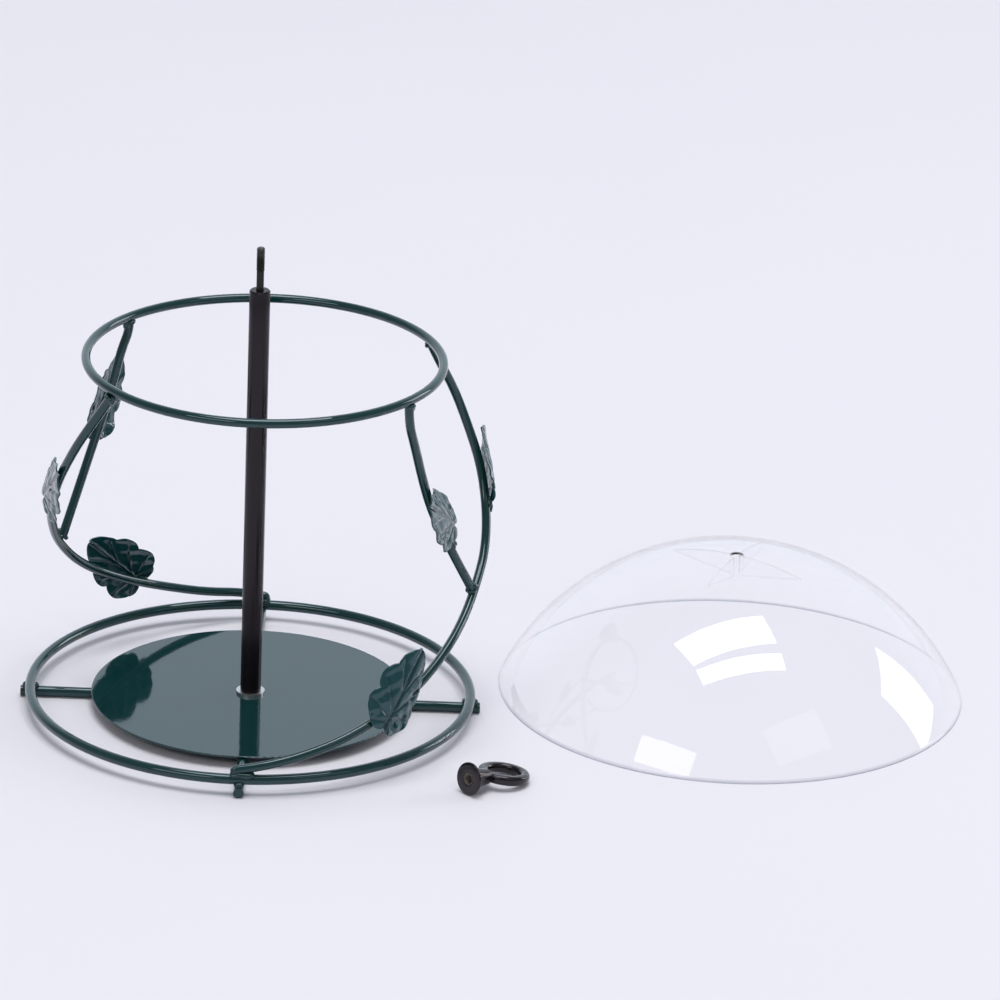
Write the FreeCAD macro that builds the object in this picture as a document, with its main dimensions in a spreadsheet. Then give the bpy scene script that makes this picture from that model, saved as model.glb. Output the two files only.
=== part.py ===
"""Seed cylinder bird feeder, taken apart for filling.

A wire cage stands on four spokes: a base ring, a seed plate on the spokes, two climbing vines with a
branch and three leaves each, and a top ring. A post for the seed cylinder rises from the plate and
ends in a threaded stud. The clear rain dome and the screw-on hanger ring lie beside the cage.
Millimetres, +Z up, floor at zero, post on the Z axis, right-hand spoke along +X.
"""
import FreeCAD
import Part
import Sketcher
import math
import os

Vector = FreeCAD.Vector
UP = Vector(0, 0, 1)
PARALLEL = 1e-7
FILLET_SHARE = 0.45

SIZES = {
    # base ring, spokes and plate
    "base_radius": 135.5,
    "base_wire": 6.35,
    "spoke_inner": 30.0,
    "spoke_overhang": 3.0,
    "plate_radius": 98.0,
    "plate_thick": 1.4,
    "plate_edge_round": 0.5,
    "weld_gap": 0.1,
    # post, its washers, screw and stud
    "post_diameter": 12.7,
    "post_length": 262.0,
    "post_chamfer": 0.8,
    "washer_margin": 2.4,
    "washer_thick": 1.6,
    "screw_diameter": 5.0,
    "screw_head_radius": 4.7,
    "screw_head_crown": 1.2,
    "floor_clearance": 1.6,
    "lock_washer_thick": 1.0,
    "lock_washer_margin": 2.6,
    "hole_clearance": 0.3,
    "thread_clearance": 0.1,
    "thread_depth": 14.0,
    "stud_diameter": 5.0,
    "stud_length": 27.0,
    "stud_neck_length": 12.0,
    "stud_neck_undercut": 0.25,
    "stud_tip": 0.6,
    # top ring, vines and branches
    "top_radius": 108.0,
    "top_height": 227.0,
    "vine_wire": 5.6,
    "vine_bulge": 30.0,
    "branch_dip": 6.0,
    "cage_lean": 4.0,
    # leaves
    "leaf_length": 54.0,
    "leaf_width": 37.0,
    "leaf_thick": 1.0,
    "leaf_fold": 4.5,
    "leaf_arch": 1.0,
    "leaf_crease": 3.3,
    "leaf_rib": 0.7,
    "leaf_rib_width": 2.4,
    # rain dome
    "dome_radius": 145.0,
    "dome_height": 91.0,
    "dome_wall": 2.0,
    "boss_wall": 2.0,
    "boss_length": 16.0,
    "bore_clearance": 0.4,
    "gusset_reach": 44.0,
    "gusset_thick": 1.6,
    "gusset_turn": 63.0,
    "dome_right": 297.0,
    "dome_back": 51.0,
    # hanger ring
    "flange_radius": 10.0,
    "flange_thick": 2.2,
    "collar_root": 6.6,
    "collar_foot": 1.0,
    "collar_length": 17.0,
    "collar_wall": 0.8,
    "insert_wall": 1.2,
    "insert_length": 11.0,
    "insert_gap": 0.1,
    "eye_radius": 12.8,
    "eye_section": 6.0,
    "hanger_right": 136.6,
    "hanger_front": 122.8,
    "hanger_turn": 44.0,
}

# heights and radii that several pieces share, as expressions on the sheet
SPOKE_Z = "(sizes.base_wire / 2)"
BASE_RING_Z = "(1.5 * sizes.base_wire + sizes.weld_gap)"
PLATE_BOTTOM = "(sizes.base_wire + sizes.weld_gap)"
PLATE_TOP = f"({PLATE_BOTTOM} + sizes.plate_thick)"
POST_FOOT = f"({PLATE_TOP} + sizes.washer_thick)"
POST_RADIUS = "(sizes.post_diameter / 2)"
POST_TOP = f"({POST_FOOT} + sizes.post_length)"
SCREW_RADIUS = "(sizes.screw_diameter / 2)"
SCREW_HOLE = f"({SCREW_RADIUS} + sizes.hole_clearance)"
SCREW_TAP = f"({SCREW_RADIUS} + sizes.thread_clearance)"
LOCK_WASHER_BOTTOM = f"({PLATE_BOTTOM} - sizes.lock_washer_thick)"
STUD_RADIUS = "(sizes.stud_diameter / 2)"
STUD_TAP = f"({STUD_RADIUS} + sizes.thread_clearance)"
STUD_NECK = f"({STUD_RADIUS} - sizes.stud_neck_undercut)"
STUD_END = "(sizes.thread_depth - sizes.hole_clearance)"
VINE_RADIUS = "(sizes.vine_wire / 2)"
DOME_SPHERE = "((sizes.dome_radius ^ 2 + sizes.dome_height ^ 2) / (2 * sizes.dome_height))"
DOME_BORE = f"({STUD_RADIUS} + sizes.bore_clearance)"
BOSS_RADIUS = f"({DOME_BORE} + sizes.boss_wall)"
BOSS_BOTTOM = "(sizes.dome_height - sizes.boss_length)"
INSERT_RADIUS = f"({STUD_TAP} + sizes.insert_wall)"
INSERT_HOLE = f"({INSERT_RADIUS} + sizes.insert_gap)"
COLLAR_NECK = f"({INSERT_HOLE} + sizes.collar_wall)"
FLANGE_RIM = "(sizes.flange_thick / 2)"

# each vine and branch is bent by hand, so each side has its own stations from foot to top:
# angle from the side's own spoke in degrees, share of the climb, share of the bulge or of the dip inwards.
# each leaf stands in its own way: its twist from the wire's line, its roll about the wire and the tilt
# of its tip in degrees, then its shift across the wire and along it as shares of its length
SIDES = {
    "right": {
        "turn": 0,
        "vine": (
            (-68, 0.06, 0.02),
            (-45, 0.145, 0.0),
            (-24, 0.225, 0.0),
            (-3.5, 0.33, 0.25),
            (9, 0.44, 0.59),
            (18.5, 0.585, 0.79),
            (24.5, 0.80, 0.61),
        ),
        "vine_top": 25,
        "branch": (
            (-10.5, 0.485, 0.15),
            (-17.5, 0.62, 1.0),
            (-26.5, 0.815, 0.95),
        ),
        "branch_top": -34.5,
        "leaves": {
            "low": (32, -7, 3, 0.11, -0.05),
            "high": (-38, -8, 5, -0.07, 0.17),
            "branch": (34, 11, 2, 0.04, -0.03),
        },
    },
    "left": {
        "turn": 180,
        "vine": (
            (-69, 0.046, -0.235),
            (-46, 0.136, -0.245),
            (-30, 0.232, -0.065),
            (-17.5, 0.344, 0.08),
            (-6, 0.46, 0.14),
            (7, 0.595, 0.20),
            (22.5, 0.795, 0.23),
        ),
        "vine_top": 37,
        "branch": (
            (-26, 0.58, -0.2),
            (-31.5, 0.80, 0.15),
            (-34, 0.905, 0.1),
        ),
        "branch_top": -37,
        "leaves": {
            "low": (15, -14, 7, 0.10, 0.02),
            "high": (-12, 3, -2, 0.05, 0.12),
            "branch": (31, 1, 12, 0.19, -0.18),
        },
    },
}
VINE_FOOT_ANGLE = -91
VINE_FOOT_RISE = 0.17
VINE_LOW_LEAF, VINE_FORK, VINE_HIGH_LEAF = 2, 4, 6
BRANCH_LEAF = 2
# half a leaf's rim as arcs of three points: share of the length from the base, share of the half width
LEAF_LOBES = (
    ((0.02, 0.00), (-0.045, 0.30), (0.03, 0.66)),
    ((0.03, 0.66), (0.19, 1.00), (0.385, 0.84)),
    ((0.385, 0.84), (0.56, 0.94), (0.715, 0.63)),
    ((0.715, 0.63), (0.875, 0.45), (1.00, 0.00)),
)
LEAF_SEAT = 0.38
LEAF_COUNT_ALONG, LEAF_COUNT_ACROSS = 15, 17
LEAF_MARGIN = 1.15
LEAF_LOWERING_COUNT = 6

doc = FreeCAD.newDocument("seed_cylinder_feeder")
sheet = doc.addObject("Spreadsheet::Sheet", "sizes")
for row, (name, number) in enumerate(SIZES.items(), 1):
    sheet.set(f"A{row}", name)
    sheet.set(f"B{row}", str(number))
    sheet.setAlias(f"B{row}", name)
doc.recompute()
nodes = []


def value(text):
    """Number that an expression on the sheet gives."""
    return float(sheet.evalExpression(text.replace("sizes.", "")))


def size(name):
    """Number in one cell of the sheet."""
    return float(getattr(sheet, name))


def node(item, label):
    """Give a finished sub-part its name and put it on the list to export."""
    item.Label = label
    nodes.append(item)
    return item


def bind(item, **expressions):
    """Tie properties of an object to the sheet; a double underscore stands for a dot."""
    for key, text in expressions.items():
        item.setExpression(key.replace("__", "."), text)
    return item


def primitive(kind, name, **expressions):
    """One Part primitive with its sizes and place tied to the sheet."""
    return bind(doc.addObject(f"Part::{kind}", name), **expressions)


def origin_feature(body, role):
    """One of a body's own origin planes or axes."""
    return next(f for f in body.Origin.OriginFeatures if f.Role == role)


def new_sketch(body, name, plane="XZ_Plane"):
    """Empty sketch on one of the body's origin planes."""
    sketch = body.newObject("Sketcher::SketchObject", name)
    sketch.AttachmentSupport = (origin_feature(body, plane), [""])
    sketch.MapMode = "FlatFace"
    return sketch


def dimension(sketch, kind, text, *where):
    """Driving dimension of a sketch, tied to an expression."""
    index = sketch.addConstraint(Sketcher.Constraint(kind, *where, value(text)))
    sketch.setExpression(f"Constraints[{index}]", text)


def polygon(sketch, corners):
    """Closed polygon whose corners are pairs of expressions: distance from the axis, height."""
    points = [Vector(value(x), value(y), 0) for x, y in corners]
    count = len(points)
    for i in range(count):
        sketch.addGeometry(Part.LineSegment(points[i], points[(i + 1) % count]))
    for i in range(count):
        sketch.addConstraint(Sketcher.Constraint("Coincident", i, 2, (i + 1) % count, 1))
    for i, (x, y) in enumerate(corners):
        for kind, axis, text in (("DistanceX", -2, x), ("DistanceY", -1, y)):
            if text == "0":
                sketch.addConstraint(Sketcher.Constraint("PointOnObject", i, 1, axis))
            else:
                dimension(sketch, kind, text, -1, 1, i, 1)


def revolve(body, sketch, name):
    """Full turn of a sketch about its own vertical axis."""
    turned = body.newObject("PartDesign::Revolution", name)
    turned.Profile = sketch
    turned.ReferenceAxis = (sketch, ["V_Axis"])
    turned.Angle = 360
    return turned


def turned_body(name, corners, **place):
    """Body of revolution from a polygon of expressions."""
    body = doc.addObject("PartDesign::Body", name)
    sketch = new_sketch(body, name + "_profile")
    polygon(sketch, corners)
    revolve(body, sketch, name + "_turned")
    return bind(body, **place)


def tube(name, outer, inner, height, **place):
    """Washer or bush: a cylinder with a round hole."""
    disc = primitive("Cylinder", name + "_disc", Radius=outer, Height=height)
    hole = primitive("Cylinder", name + "_hole", Radius=inner, Height=height)
    cut = doc.addObject("Part::Cut", name)
    cut.Base = disc
    cut.Tool = hole
    return bind(cut, **place)


def build_base():
    """Base ring lying across the outer ends of four spokes, which carry the seed plate."""
    ring = primitive("Torus", "base_ring", Radius1="sizes.base_radius", Radius2="sizes.base_wire / 2",
                     Placement__Base__z=BASE_RING_Z)
    node(ring, "base_ring")
    for side, turn in (("right", 0), ("back", 90), ("left", 180), ("front", 270)):
        spoke = primitive("Cylinder", "spoke_" + side, Radius="sizes.base_wire / 2",
                          Height="sizes.base_radius + sizes.base_wire / 2 + sizes.spoke_overhang"
                                 " - sizes.spoke_inner")
        outwards = Vector(round(math.cos(math.radians(turn))), round(math.sin(math.radians(turn))), 0)
        spoke.Placement.Rotation = FreeCAD.Rotation(UP, outwards)
        bind(spoke, Placement__Base__x=f"sizes.spoke_inner * {outwards.x}",
             Placement__Base__y=f"sizes.spoke_inner * {outwards.y}", Placement__Base__z=SPOKE_Z)
        node(spoke, "spoke_" + side)


def build_plate():
    """Round seed plate with a softened rim and a hole for the post's screw."""
    body = doc.addObject("PartDesign::Body", "seed_plate")
    sketch = new_sketch(body, "plate_outline", "XY_Plane")
    for i, text in enumerate(("sizes.plate_radius", SCREW_HOLE)):
        sketch.addGeometry(Part.Circle(Vector(), UP, value(text)))
        sketch.addConstraint(Sketcher.Constraint("Coincident", i, 3, -1, 1))
        dimension(sketch, "Radius", text, i)
    pad = body.newObject("PartDesign::Pad", "plate_sheet")
    pad.Profile = sketch
    bind(pad, Length="sizes.plate_thick")
    doc.recompute()
    rims = [f"Edge{i}" for i, edge in enumerate(pad.Shape.Edges, 1)
            if edge.Closed and edge.Curve.Radius > size("plate_radius") / 2]
    rounded = body.newObject("PartDesign::Fillet", "plate_rim")
    rounded.Base = (pad, rims)
    bind(rounded, Radius=f"min(sizes.plate_edge_round; sizes.plate_thick * {FILLET_SHARE})")
    bind(body, Placement__Base__z=PLATE_BOTTOM)
    node(body, "seed_plate")


def build_post():
    """Post with a tapped hole in each end, its washer, the stud above and the screw below."""
    bevel = "sizes.post_chamfer"
    post = turned_body("center_post", (
        (SCREW_TAP, "0"),
        (f"{POST_RADIUS} - {bevel}", "0"),
        (POST_RADIUS, bevel),
        (POST_RADIUS, f"sizes.post_length - {bevel}"),
        (f"{POST_RADIUS} - {bevel}", "sizes.post_length"),
        (STUD_TAP, "sizes.post_length"),
        (STUD_TAP, "sizes.post_length - sizes.thread_depth"),
        ("0", "sizes.post_length - sizes.thread_depth"),
        ("0", "sizes.thread_depth"),
        (SCREW_TAP, "sizes.thread_depth"),
    ), Placement__Base__z=POST_FOOT)
    node(post, "center_post")

    washer = tube("post_washer", f"{POST_RADIUS} + sizes.washer_margin", SCREW_HOLE,
                  "sizes.washer_thick", Placement__Base__z=PLATE_TOP)
    node(washer, "post_washer")
    lock = tube("lock_washer", f"{SCREW_RADIUS} + sizes.lock_washer_margin", SCREW_HOLE,
                "sizes.lock_washer_thick", Placement__Base__z=LOCK_WASHER_BOTTOM)
    node(lock, "lock_washer")

    # the screw's head hangs between the lock washer and the floor, its shank ends inside the post
    head = f"({LOCK_WASHER_BOTTOM} - sizes.floor_clearance)"
    shank_top = f"({head} + sizes.lock_washer_thick + sizes.plate_thick + sizes.washer_thick + {STUD_END})"
    crown = "sizes.screw_head_crown"
    screw = turned_body("base_screw", (
        ("0", "0"),
        (f"sizes.screw_head_radius - {crown}", "0"),
        ("sizes.screw_head_radius", crown),
        ("sizes.screw_head_radius", head),
        (SCREW_RADIUS, head),
        (SCREW_RADIUS, shank_top),
        ("0", shank_top),
    ), Placement__Base__z="sizes.floor_clearance")
    node(screw, "base_screw")

    tip = "sizes.stud_tip"
    proud = f"({STUD_END} + sizes.stud_length)"
    stud = turned_body("hanger_stud", (
        ("0", "0"),
        (STUD_RADIUS, "0"),
        (STUD_RADIUS, STUD_END),
        (STUD_NECK, STUD_END),
        (STUD_NECK, f"{STUD_END} + sizes.stud_neck_length"),
        (STUD_RADIUS, f"{STUD_END} + sizes.stud_neck_length + sizes.stud_neck_undercut"),
        (STUD_RADIUS, f"{proud} - {tip}"),
        (f"{STUD_RADIUS} - {tip}", proud),
        ("0", proud),
    ), Placement__Base__z=f"{POST_TOP} - {STUD_END}")
    node(stud, "hanger_stud")


def on_cage(angle, radius, height):
    """Point of the cage by angle, radius and height; the cage leans towards +X as it rises."""
    rise = (height - value(BASE_RING_Z)) / (size("top_height") - value(BASE_RING_Z))
    turn = math.radians(angle)
    return Vector(radius * math.cos(turn) + size("cage_lean") * rise, radius * math.sin(turn), height)


def climb(share):
    """Height at a share of the way from the vine's foot on the base ring to the top ring."""
    foot = value(BASE_RING_Z) + (size("base_wire") + size("vine_wire")) / 2 + size("weld_gap")
    return foot + share * (size("top_height") - size("vine_wire") - foot)


def taper(share):
    """Cage radius on the straight line from the base ring to the top ring."""
    return size("base_radius") + share * (size("top_radius") - size("base_radius"))


def ring_way(angle):
    """Direction of the cage's rings at an angle from +X."""
    turn = math.radians(angle)
    return Vector(-math.sin(turn), math.cos(turn), 0)


def unit(vector):
    """Vector of length one in the same direction."""
    return vector / vector.Length


def tangents(points, first, last):
    """Direction of the wire at each point: given at both ends, along the neighbours between."""
    inner = [unit(unit(b - a) / (b - a).Length + unit(c - b) / (c - b).Length)
             for a, b, c in zip(points, points[1:], points[2:])]
    return [unit(first)] + inner + [unit(last)]


def biarc(start, start_way, end, end_way):
    """Two arcs that leave start along its direction and reach end along its direction."""
    chord = end - start
    ways = start_way + end_way
    slack = 2 * (1 - start_way.dot(end_way))
    reach = chord.dot(ways)
    if slack < PARALLEL:
        handle = chord.dot(chord) / (2 * reach)
    else:
        handle = (math.sqrt(reach ** 2 + slack * chord.dot(chord)) - reach) / slack
    near = start + start_way * handle
    far = end - end_way * handle
    joint = (near + far) / 2
    return [arc_towards(start, near, joint), arc_towards(joint, far, end)]


def arc_towards(start, corner, end):
    """Arc from start to end whose end tangents meet at corner."""
    middle = (start + end) / 2
    half = (end - start).Length / 2
    sag = corner - middle
    if sag.Length < PARALLEL:
        return Part.LineSegment(start, end).toShape()
    height = half * math.tan(math.atan2(sag.Length, half) / 2)
    return Part.Arc(start, middle + unit(sag) * height, end).toShape()


def butt(axis_point, axis_way, way):
    """Start of a wire that leaves another wire along way, its end face just clear of the other's skin."""
    along = abs(way.dot(axis_way))
    clear = size("vine_wire") / 2 * (1 + along) + size("weld_gap")
    return axis_point + way * clear / math.sqrt(1 - along ** 2)


def bent_wire(label, points, ways):
    """Round wire swept along tangent arcs through its stations; returns its centre line."""
    edges = []
    for start, end, start_way, end_way in zip(points, points[1:], ways, ways[1:]):
        edges += biarc(start, start_way, end, end_way)
    line = doc.addObject("Part::Feature", label + "_line")
    line.Shape = Part.Wire(edges)
    section = primitive("Circle", label + "_section", Radius=VINE_RADIUS)
    section.Placement = FreeCAD.Placement(points[0], FreeCAD.Rotation(UP, ways[0]))
    sweep = doc.addObject("Part::Sweep", label)
    sweep.Sections = [section]
    sweep.Spine = (line, [f"Edge{i}" for i in range(1, len(edges) + 1)])
    sweep.Solid = True
    sweep.Frenet = False
    node(sweep, label)
    return line.Shape


def build_vine(side, stations, top_angle, turn):
    """Main wire from the base ring to the top ring; returns its stations, directions and centre line."""
    points = [on_cage(VINE_FOOT_ANGLE + turn, size("base_radius"), climb(0))]
    for angle, share, bulge in stations:
        points.append(on_cage(angle + turn, taper(share) + bulge * size("vine_bulge"), climb(share)))
    seat = on_cage(top_angle + turn, size("top_radius"), size("top_height"))
    arrival = unit(seat - points[-1])
    points.append(butt(seat, ring_way(top_angle + turn), -arrival))
    leaving = ring_way(VINE_FOOT_ANGLE + turn) + UP * VINE_FOOT_RISE
    ways = tangents(points, leaving, arrival)
    return points, ways, bent_wire("vine_" + side, points, ways)


def build_branch(side, stations, top_angle, turn, fork, fork_way):
    """Short wire that stands on the vine at its fork and rises to the top ring; as build_vine."""
    points = [on_cage(angle + turn, taper(share) - dip * size("branch_dip"), climb(share))
              for angle, share, dip in stations]
    leaving = unit(points[0] - fork)
    seat = on_cage(top_angle + turn, size("top_radius"), size("top_height"))
    points = [butt(fork, fork_way, leaving)] + points + [butt(seat, ring_way(top_angle + turn), -UP)]
    ways = tangents(points, leaving, UP)
    return points, ways, bent_wire("branch_" + side, points, ways)


def leaf_face(x, y):
    """Point of a leaf's inner face: halves fold down from an arched, rounded ridge with a rib along it."""
    half, rounding = size("leaf_width") / 2, size("leaf_crease")
    slope = size("leaf_fold") / (math.hypot(half, rounding) - rounding)
    ridge = slope * (math.hypot(y, rounding) - rounding)
    rib = size("leaf_rib") * math.exp(-(y / size("leaf_rib_width")) ** 2)
    arch = size("leaf_arch") * (2 * x / size("leaf_length")) ** 2
    return Vector(x, y, -ridge - rib - arch)


def leaf_blade():
    """Pressed leaf, midrib along X and outer face up: a sheet on the inner face, cut to the lobed rim."""
    length, half = size("leaf_length"), size("leaf_width") / 2
    along, across = LEAF_COUNT_ALONG - 1, LEAF_COUNT_ACROSS - 1
    before = (LEAF_MARGIN - 1) / 2 + LEAF_SEAT
    xs = [(i / along * LEAF_MARGIN - before) * length for i in range(along + 1)]
    ys = [(2 * j / across - 1) * LEAF_MARGIN * half for j in range(across + 1)]
    face = Part.BSplineSurface()
    face.interpolate([[leaf_face(x, y) for y in ys] for x in xs])
    pressed = face.toShape().extrude(UP * size("leaf_thick"))

    def rim_point(share, wide, side):
        return Vector((share - LEAF_SEAT) * length, side * wide * half, -length)

    rim = [Part.Arc(*(rim_point(s, w, 1) for s, w in lobe)).toShape() for lobe in LEAF_LOBES]
    rim += [Part.Arc(*(rim_point(s, w, -1) for s, w in reversed(lobe))).toShape()
            for lobe in reversed(LEAF_LOBES)]
    cutter = Part.Face(Part.Wire(rim)).extrude(UP * 2 * length)
    return pressed.common(cutter)


def build_leaf(label, blade, point, way, line, stance):
    """Leaf in its stance, let down from outside until it is just clear of its wire."""
    twist, roll, tilt, aside, ahead = stance
    length = size("leaf_length")
    outwards = Vector(point.x, point.y, 0)
    normal = FreeCAD.Rotation(way, roll).multVec(unit(outwards - way * outwards.dot(way)))
    midrib = FreeCAD.Rotation(normal, twist).multVec(way)
    place = point + normal.cross(way) * aside * length + way * ahead * length
    nod = FreeCAD.Rotation(midrib.cross(normal), tilt)
    normal, midrib = nod.multVec(normal), nod.multVec(midrib)
    turn = FreeCAD.Rotation(midrib, normal.cross(midrib), normal, "ZXY")
    leaf = doc.addObject("Part::Feature", label)
    leaf.Shape = blade
    rest = size("vine_wire") / 2 + size("weld_gap")
    height = length / 3
    for _ in range(LEAF_LOWERING_COUNT):
        leaf.Placement = FreeCAD.Placement(place + normal * height, turn)
        height -= leaf.Shape.distToShape(line)[0] - rest
    leaf.Placement = FreeCAD.Placement(place + normal * height, turn)
    node(leaf, label)


def build_cage():
    """Top ring carried by two vines and their branches, a half turn apart, each with three leaves."""
    ring = primitive("Torus", "top_ring", Radius1="sizes.top_radius", Radius2=VINE_RADIUS,
                     Placement__Base__x="sizes.cage_lean", Placement__Base__z="sizes.top_height")
    node(ring, "top_ring")
    blade = leaf_blade()
    for side, bends in SIDES.items():
        turn = bends["turn"]
        vine = build_vine(side, bends["vine"], bends["vine_top"], turn)
        fork, fork_way = vine[0][VINE_FORK], vine[1][VINE_FORK]
        branch = build_branch(side, bends["branch"], bends["branch_top"], turn, fork, fork_way)
        for place, (points, ways, line), index in (
            ("low", vine, VINE_LOW_LEAF), ("high", vine, VINE_HIGH_LEAF), ("branch", branch, BRANCH_LEAF),
        ):
            stance = bends["leaves"][place]
            build_leaf(f"leaf_{place}_{side}", blade, points[index], ways[index], line, stance)


def dome_arc(sketch, index, radius, start, end):
    """Arc of a sphere about a centre on the axis, through two points given as radius and height."""
    centre = Vector(0, value("sizes.dome_height") - value(DOME_SPHERE), 0)
    angles = [math.atan2(z - centre.y, r) for r, z in (start, end)]
    circle = Part.Circle(centre, UP, value(radius))
    sketch.addGeometry(Part.ArcOfCircle(circle, min(angles), max(angles)))
    dimension(sketch, "Radius", radius, index)


def sphere_height(radius, distance):
    """Height of a dome sphere of the given radius at a distance from the axis."""
    centre = value("sizes.dome_height") - value(DOME_SPHERE)
    return centre + math.sqrt(value(radius) ** 2 - value(distance) ** 2)


def build_dome():
    """Clear dome: a thin spherical cap with a hanging centre boss and four tapered gussets."""
    body = doc.addObject("PartDesign::Body", "rain_dome")
    inner_sphere = f"({DOME_SPHERE} - sizes.dome_wall)"
    centre = value("sizes.dome_height") - value(DOME_SPHERE)
    rim_in = math.sqrt(value(inner_sphere) ** 2 - centre ** 2)
    rim_out, bore, boss = size("dome_radius"), value(DOME_BORE), value(BOSS_RADIUS)
    crown, under = sphere_height(DOME_SPHERE, DOME_BORE), sphere_height(inner_sphere, BOSS_RADIUS)
    bottom = value(BOSS_BOTTOM)

    shell = new_sketch(body, "dome_profile")
    shell.addGeometry(Part.LineSegment(Vector(rim_in, 0, 0), Vector(rim_out, 0, 0)))
    dome_arc(shell, 1, DOME_SPHERE, (rim_out, 0), (bore, crown))
    shell.addGeometry(Part.LineSegment(Vector(bore, crown, 0), Vector(bore, bottom, 0)))
    shell.addGeometry(Part.LineSegment(Vector(bore, bottom, 0), Vector(boss, bottom, 0)))
    shell.addGeometry(Part.LineSegment(Vector(boss, bottom, 0), Vector(boss, under, 0)))
    dome_arc(shell, 5, inner_sphere, (rim_in, 0), (boss, under))
    for first, first_end, second, second_end in (
        (0, 2, 1, 1), (1, 2, 2, 1), (2, 2, 3, 1), (3, 2, 4, 1), (4, 2, 5, 2), (5, 1, 0, 1), (1, 3, 5, 3),
    ):
        shell.addConstraint(Sketcher.Constraint("Coincident", first, first_end, second, second_end))
    shell.addConstraint(Sketcher.Constraint("PointOnObject", 1, 3, -2))
    shell.addConstraint(Sketcher.Constraint("PointOnObject", 0, 1, -1))
    shell.addConstraint(Sketcher.Constraint("PointOnObject", 0, 2, -1))
    shell.addConstraint(Sketcher.Constraint("Vertical", 2))
    shell.addConstraint(Sketcher.Constraint("Horizontal", 3))
    shell.addConstraint(Sketcher.Constraint("Vertical", 4))
    dimension(shell, "DistanceX", "sizes.dome_radius", -1, 1, 0, 2)
    dimension(shell, "DistanceX", DOME_BORE, -1, 1, 2, 1)
    dimension(shell, "DistanceX", BOSS_RADIUS, -1, 1, 4, 1)
    dimension(shell, "DistanceY", BOSS_BOTTOM, -1, 1, 3, 1)
    revolve(body, shell, "dome_shell")

    middle = f"({DOME_SPHERE} - sizes.dome_wall / 2)"
    root = f"({BOSS_RADIUS} - sizes.boss_wall / 2)"
    low = f"({BOSS_BOTTOM} + sizes.boss_wall)"
    root_top, reach = sphere_height(middle, root), size("gusset_reach")
    reach_top = sphere_height(middle, "sizes.gusset_reach")
    web = new_sketch(body, "gusset_profile")
    web.addGeometry(Part.LineSegment(Vector(value(root), value(low), 0), Vector(reach, reach_top, 0)))
    dome_arc(web, 1, middle, (reach, reach_top), (value(root), root_top))
    web.addGeometry(Part.LineSegment(Vector(value(root), root_top, 0), Vector(value(root), value(low), 0)))
    for first, first_end, second, second_end in ((0, 2, 1, 1), (1, 2, 2, 1), (2, 2, 0, 1)):
        web.addConstraint(Sketcher.Constraint("Coincident", first, first_end, second, second_end))
    web.addConstraint(Sketcher.Constraint("PointOnObject", 1, 3, -2))
    web.addConstraint(Sketcher.Constraint("Vertical", 2))
    dimension(web, "DistanceX", root, -1, 1, 0, 1)
    dimension(web, "DistanceY", low, -1, 1, 0, 1)
    dimension(web, "DistanceX", "sizes.gusset_reach", -1, 1, 0, 2)
    dimension(web, "DistanceY", f"{DOME_SPHERE} - sizes.dome_height", 1, 3, -1, 1)
    gusset = body.newObject("PartDesign::Pad", "gusset")
    gusset.Profile = web
    gusset.Midplane = True
    bind(gusset, Length="sizes.gusset_thick")
    cross = body.newObject("PartDesign::PolarPattern", "gussets")
    cross.Originals = [gusset]
    cross.Axis = (origin_feature(body, "Z_Axis"), [""])
    cross.Angle = 360
    cross.Occurrences = 4
    body.Tip = cross
    body.Placement.Rotation = FreeCAD.Rotation(UP, size("gusset_turn"))
    bind(body, Placement__Base__x="sizes.dome_right", Placement__Base__y="sizes.dome_back")
    node(body, "rain_dome")


def hanger_pose():
    """Place of the hanger ring as it lies: flange rim and far side of the eye both on the floor."""
    rim_edge = value(FLANGE_RIM)
    eye_end = size("collar_length") + 2 * size("eye_radius") - rim_edge
    lever = math.hypot(size("flange_radius"), eye_end)
    tilt = math.acos(size("eye_section") / 2 / lever) - math.atan2(eye_end, size("flange_radius"))
    height = size("flange_radius") * math.cos(tilt) + rim_edge * math.sin(tilt)
    turn = math.radians(size("hanger_turn"))
    axis = Vector(math.cos(turn) * math.cos(tilt), math.sin(turn) * math.cos(tilt), -math.sin(tilt))
    side = unit(UP.cross(axis))
    pose = FreeCAD.Rotation(side, axis.cross(side), axis, "ZXY")
    return FreeCAD.Placement(Vector(size("hanger_right"), -size("hanger_front"), height), pose)


def build_hanger():
    """Screw-on hanger: a flanged collar round a threaded insert, running into an eye."""
    body = doc.addObject("PartDesign::Body", "hanger_ring")
    profile = new_sketch(body, "collar_profile")
    polygon(profile, (
        (INSERT_HOLE, "0"),
        ("sizes.flange_radius", "0"),
        ("sizes.flange_radius", FLANGE_RIM),
        ("sizes.collar_root + sizes.collar_foot", "sizes.flange_thick"),
        ("sizes.collar_root", "sizes.flange_thick + sizes.collar_foot"),
        (COLLAR_NECK, "sizes.collar_length - sizes.eye_section / 4"),
        ("0", "sizes.collar_length - sizes.eye_section / 4"),
        ("0", "sizes.insert_length + sizes.insert_gap"),
        (INSERT_HOLE, "sizes.insert_length + sizes.insert_gap"),
    ))
    revolve(body, profile, "collar")
    eye = body.newObject("PartDesign::AdditiveTorus", "eye")
    bind(eye, Radius1="sizes.eye_radius", Radius2="sizes.eye_section / 2")
    eye.Placement = FreeCAD.Placement(Vector(0, 0, size("collar_length") + size("eye_radius")),
                                      FreeCAD.Rotation(Vector(1, 0, 0), 90))
    bind(eye, Placement__Base__z="sizes.collar_length + sizes.eye_radius")
    body.Placement = hanger_pose()
    node(body, "hanger_ring")

    insert = tube("thread_insert", INSERT_RADIUS, STUD_TAP, "sizes.insert_length")
    insert.Placement = hanger_pose()
    node(insert, "thread_insert")


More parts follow.
